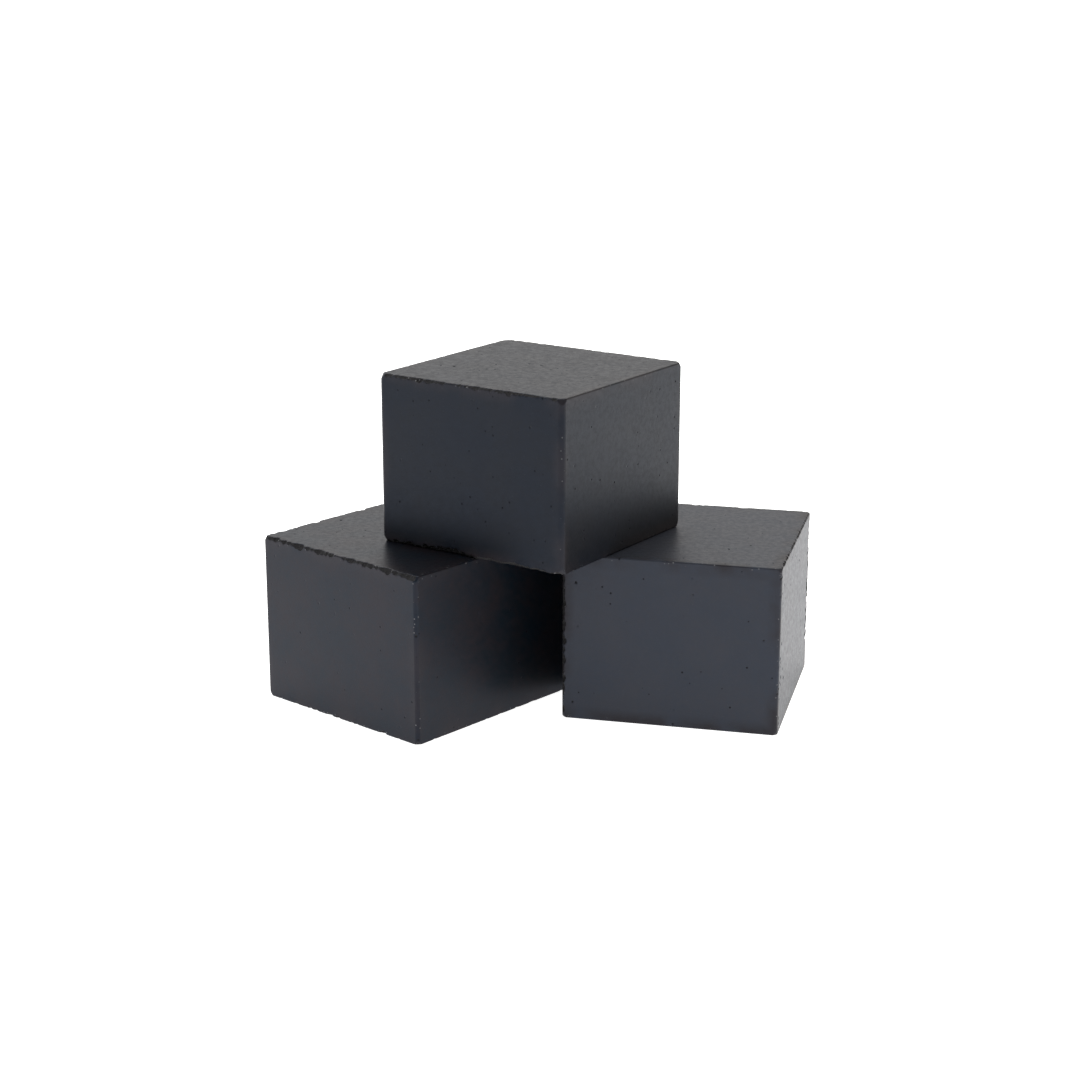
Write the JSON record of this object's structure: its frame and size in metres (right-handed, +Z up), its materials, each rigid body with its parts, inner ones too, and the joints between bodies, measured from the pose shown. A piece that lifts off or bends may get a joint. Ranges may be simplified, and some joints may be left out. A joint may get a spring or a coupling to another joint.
{
  "type": "charcoal blocks",
  "caption": "Loose solid charcoal blocks, square in plan with crumbled edges, stacked as a bridge: one lies across a pair that stands side by side.",
  "frame": {"origin": "on the ground, under the middle of the stack's bounding box", "axes": "+X along the pair of lower blocks from left to right, +Y from the front of the stack to its back, +Z up"},
  "size_m": [0.0648, 0.035, 0.0394],
  "materials": {
    "charcoal": "matt, fine-grained, pressed charcoal dust with small pits"
  },
  "bodies": {
    "left_block": {"left_block": "charcoal"},
    "right_block": {"right_block": "charcoal"},
    "top_block": {"top_block": "charcoal"}
  },
  "joints": [
    {"name": "right_block_slide", "type": "slide", "parent": "left_block", "child": "right_block", "axis": [0.9707, -0.2402, 0], "range_m": [0, 0.03]},
    {"name": "top_block_lift", "type": "slide", "parent": "left_block", "child": "top_block", "axis": [0, 0, 1], "range_m": [0, 0.03]}
  ]
}
